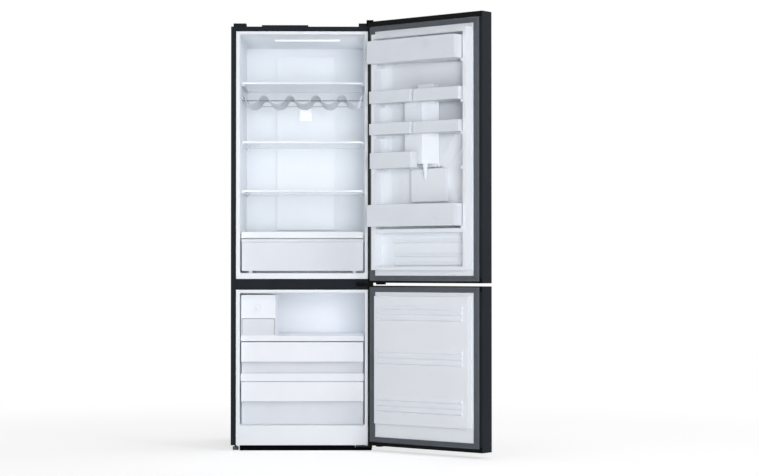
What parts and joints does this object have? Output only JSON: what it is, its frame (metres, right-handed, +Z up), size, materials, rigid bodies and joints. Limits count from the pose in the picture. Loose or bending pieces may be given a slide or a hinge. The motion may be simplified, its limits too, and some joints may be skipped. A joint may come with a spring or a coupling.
{
  "type": "two-door refrigerator",
  "caption": "Tall two-door refrigerator with the fridge above the freezer, both doors hinged on the right and open, with glass shelves, drawers, door bins and a water tank.",
  "frame": {"origin": "on the floor, in the middle of the width, under the front plane of the cabinet", "axes": "+X to the right seen from the front, +Y to the back, +Z up"},
  "size_m": [1.0662, 1.0197, 1.7945],
  "materials": {
    "outer_paint": "satin",
    "back_zinc": "satin",
    "hinge_steel": "satin",
    "dark_plastic": "matte",
    "liner_white": "gloss",
    "trim_white": "gloss",
    "bin_clear": "gloss",
    "drawer_clear": "gloss",
    "shelf_glass": "gloss",
    "rack_grey": "satin",
    "seal_grey": "matte",
    "foam": "matte",
    "lamp": "satin",
    "bright_aluminium": "satin",
    "black_paint": "satin"
  },
  "bodies": {
    "cabinet": {"left_side_panel": "outer_paint", "right_side_panel": "outer_paint", "top_panel": "outer_paint", "back_panel": "back_zinc", "base_plate": "back_zinc", "mullion_cover": "dark_plastic", "kick_plate": "dark_plastic", "fridge_liner": "liner_white", "freezer_liner": "liner_white", "cabinet_foam": "foam", "power_inlet": "dark_plastic", "top_hinge": "hinge_steel", "top_hinge_cover": "dark_plastic", "blanking_cover": "dark_plastic", "middle_hinge": "hinge_steel", "bottom_hinge": "hinge_steel", "lamp_lens": "lamp", "air_duct_panel": "liner_white", "filter_cover": "trim_white", "upper_freezer_shelf": "trim_white", "lower_freezer_shelf": "trim_white", "ice_maker_housing": "trim_white", "freezer_back_panel": "liner_white", "fan_motor": "dark_plastic", "evaporator": "bright_aluminium", "compressor": "black_paint"},
    "left_foot": {"left_front_foot": "dark_plastic"},
    "right_foot": {"right_front_foot": "dark_plastic"},
    "fan": {"evaporator_fan": "dark_plastic"},
    "top_shelf": {"top_glass_shelf": "shelf_glass"},
    "middle_shelf": {"middle_glass_shelf": "shelf_glass"},
    "lower_shelf": {"lower_glass_shelf": "shelf_glass"},
    "crisper_shelf": {"crisper_cover": "shelf_glass"},
    "rack": {"wine_rack": "rack_grey"},
    "crisper": {"crisper_drawer": "drawer_clear"},
    "upper_drawer": {"upper_freezer_drawer": "drawer_clear"},
    "lower_drawer": {"lower_freezer_drawer": "drawer_clear"},
    "ice_store": {"ice_box": "drawer_clear"},
    "twist_tray": {"ice_tray": "trim_white"},
    "fridge_door": {"fridge_door_skin": "outer_paint", "fridge_door_frame": "dark_plastic", "fridge_door_gasket": "seal_grey", "fridge_door_liner": "liner_white", "fridge_door_foam": "foam", "dispenser_niche": "dark_plastic"},
    "freezer_door": {"freezer_door_skin": "outer_paint", "freezer_door_frame": "dark_plastic", "freezer_door_gasket": "seal_grey", "freezer_door_liner": "liner_white", "freezer_door_foam": "foam"},
    "egg_bin": {"top_bin": "bin_clear"},
    "upper_free_bin": {"upper_free_side_bin": "bin_clear"},
    "upper_hinge_bin": {"upper_hinge_side_bin": "bin_clear"},
    "lower_free_bin": {"lower_free_side_bin": "bin_clear"},
    "lower_hinge_bin": {"lower_hinge_side_bin": "bin_clear"},
    "short_bin": {"half_bin": "bin_clear"},
    "tall_bin": {"bottle_bin": "bin_clear"},
    "tank": {"water_tank": "bin_clear"},
    "tank_cap": {"tank_lid": "trim_white"},
    "lever": {"dispenser_lever": "dark_plastic"}
  },
  "joints": [
    {"name": "fridge_door_swing", "type": "hinge", "parent": "cabinet", "child": "fridge_door", "pos_m": [0.2855, -0.013, 1.2], "axis": [0, 0, 1], "range_deg": [-140, 0]},
    {"name": "freezer_door_swing", "type": "hinge", "parent": "cabinet", "child": "freezer_door", "pos_m": [0.2855, -0.013, 0.35], "axis": [0, 0, 1], "range_deg": [-140, 0]},
    {"name": "left_foot_turn", "type": "hinge", "parent": "cabinet", "child": "left_foot", "pos_m": [-0.279, 0.04, 0.01], "axis": [0, 0, 1], "continuous": true},
    {"name": "right_foot_turn", "type": "hinge", "parent": "cabinet", "child": "right_foot", "pos_m": [0.279, 0.04, 0.01], "axis": [0, 0, 1], "continuous": true},
    {"name": "fan_spin", "type": "hinge", "parent": "cabinet", "child": "fan", "pos_m": [0, 0.504, 0.566], "axis": [0, 1, 0], "continuous": true},
    {"name": "top_shelf_slide", "type": "slide", "parent": "cabinet", "child": "top_shelf", "axis": [0, -1, 0], "range_m": [0, 0.12]},
    {"name": "middle_shelf_slide", "type": "slide", "parent": "cabinet", "child": "middle_shelf", "axis": [0, -1, 0], "range_m": [0, 0.12]},
    {"name": "lower_shelf_slide", "type": "slide", "parent": "cabinet", "child": "lower_shelf", "axis": [0, -1, 0], "range_m": [0, 0.12]},
    {"name": "crisper_shelf_slide", "type": "slide", "parent": "cabinet", "child": "crisper_shelf", "axis": [0, -1, 0], "range_m": [0, 0.12]},
    {"name": "rack_slide", "type": "slide", "parent": "cabinet", "child": "rack", "axis": [0, -1, 0], "range_m": [0, 0.12]},
    {"name": "crisper_slide", "type": "slide", "parent": "cabinet", "child": "crisper", "axis": [0, -1, 0], "range_m": [0, 0.25]},
    {"name": "upper_drawer_slide", "type": "slide", "parent": "cabinet", "child": "upper_drawer", "axis": [0, -1, 0], "range_m": [0, 0.3]},
    {"name": "lower_drawer_slide", "type": "slide", "parent": "cabinet", "child": "lower_drawer", "axis": [0, -1, 0], "range_m": [0, 0.22]},
    {"name": "ice_store_slide", "type": "slide", "parent": "cabinet", "child": "ice_store", "axis": [0, -1, 0], "range_m": [0, 0.15]},
    {"name": "twist_tray_turn", "type": "hinge", "parent": "cabinet", "child": "twist_tray", "pos_m": [-0.185, 0.17, 0.597], "axis": [0, 1, 0], "range_deg": [0, 160]},
    {"name": "egg_bin_lift", "type": "slide", "parent": "fridge_door", "child": "egg_bin", "axis": [0, 0, 1], "range_m": [0, 0.012]},
    {"name": "upper_free_bin_lift", "type": "slide", "parent": "fridge_door", "child": "upper_free_bin", "axis": [0, 0, 1], "range_m": [0, 0.03]},
    {"name": "upper_hinge_bin_lift", "type": "slide", "parent": "fridge_door", "child": "upper_hinge_bin", "axis": [0, 0, 1], "range_m": [0, 0.03]},
    {"name": "lower_free_bin_lift", "type": "slide", "parent": "fridge_door", "child": "lower_free_bin", "axis": [0, 0, 1], "range_m": [0, 0.03]},
    {"name": "lower_hinge_bin_lift", "type": "slide", "parent": "fridge_door", "child": "lower_hinge_bin", "axis": [0, 0, 1], "range_m": [0, 0.03]},
    {"name": "short_bin_lift", "type": "slide", "parent": "fridge_door", "child": "short_bin", "axis": [0, 0, 1], "range_m": [0, 0.03]},
    {"name": "tall_bin_lift", "type": "slide", "parent": "fridge_door", "child": "tall_bin", "axis": [0, 0, 1], "range_m": [0, 0.01]},
    {"name": "tank_lift", "type": "slide", "parent": "fridge_door", "child": "tank", "axis": [0, 0, 1], "range_m": [0, 0.03]},
    {"name": "tank_cap_lift", "type": "slide", "parent": "tank", "child": "tank_cap", "axis": [0, 0, 1], "range_m": [0, 0.03]},
    {"name": "lever_push", "type": "hinge", "parent": "fridge_door", "child": "lever", "pos_m": [0.5391, -0.17749, 1.15], "axis": [-0.766, 0.6428, 0], "range_deg": [0, 12], "stiffness_Nm_per_rad": 0.15}
  ]
}
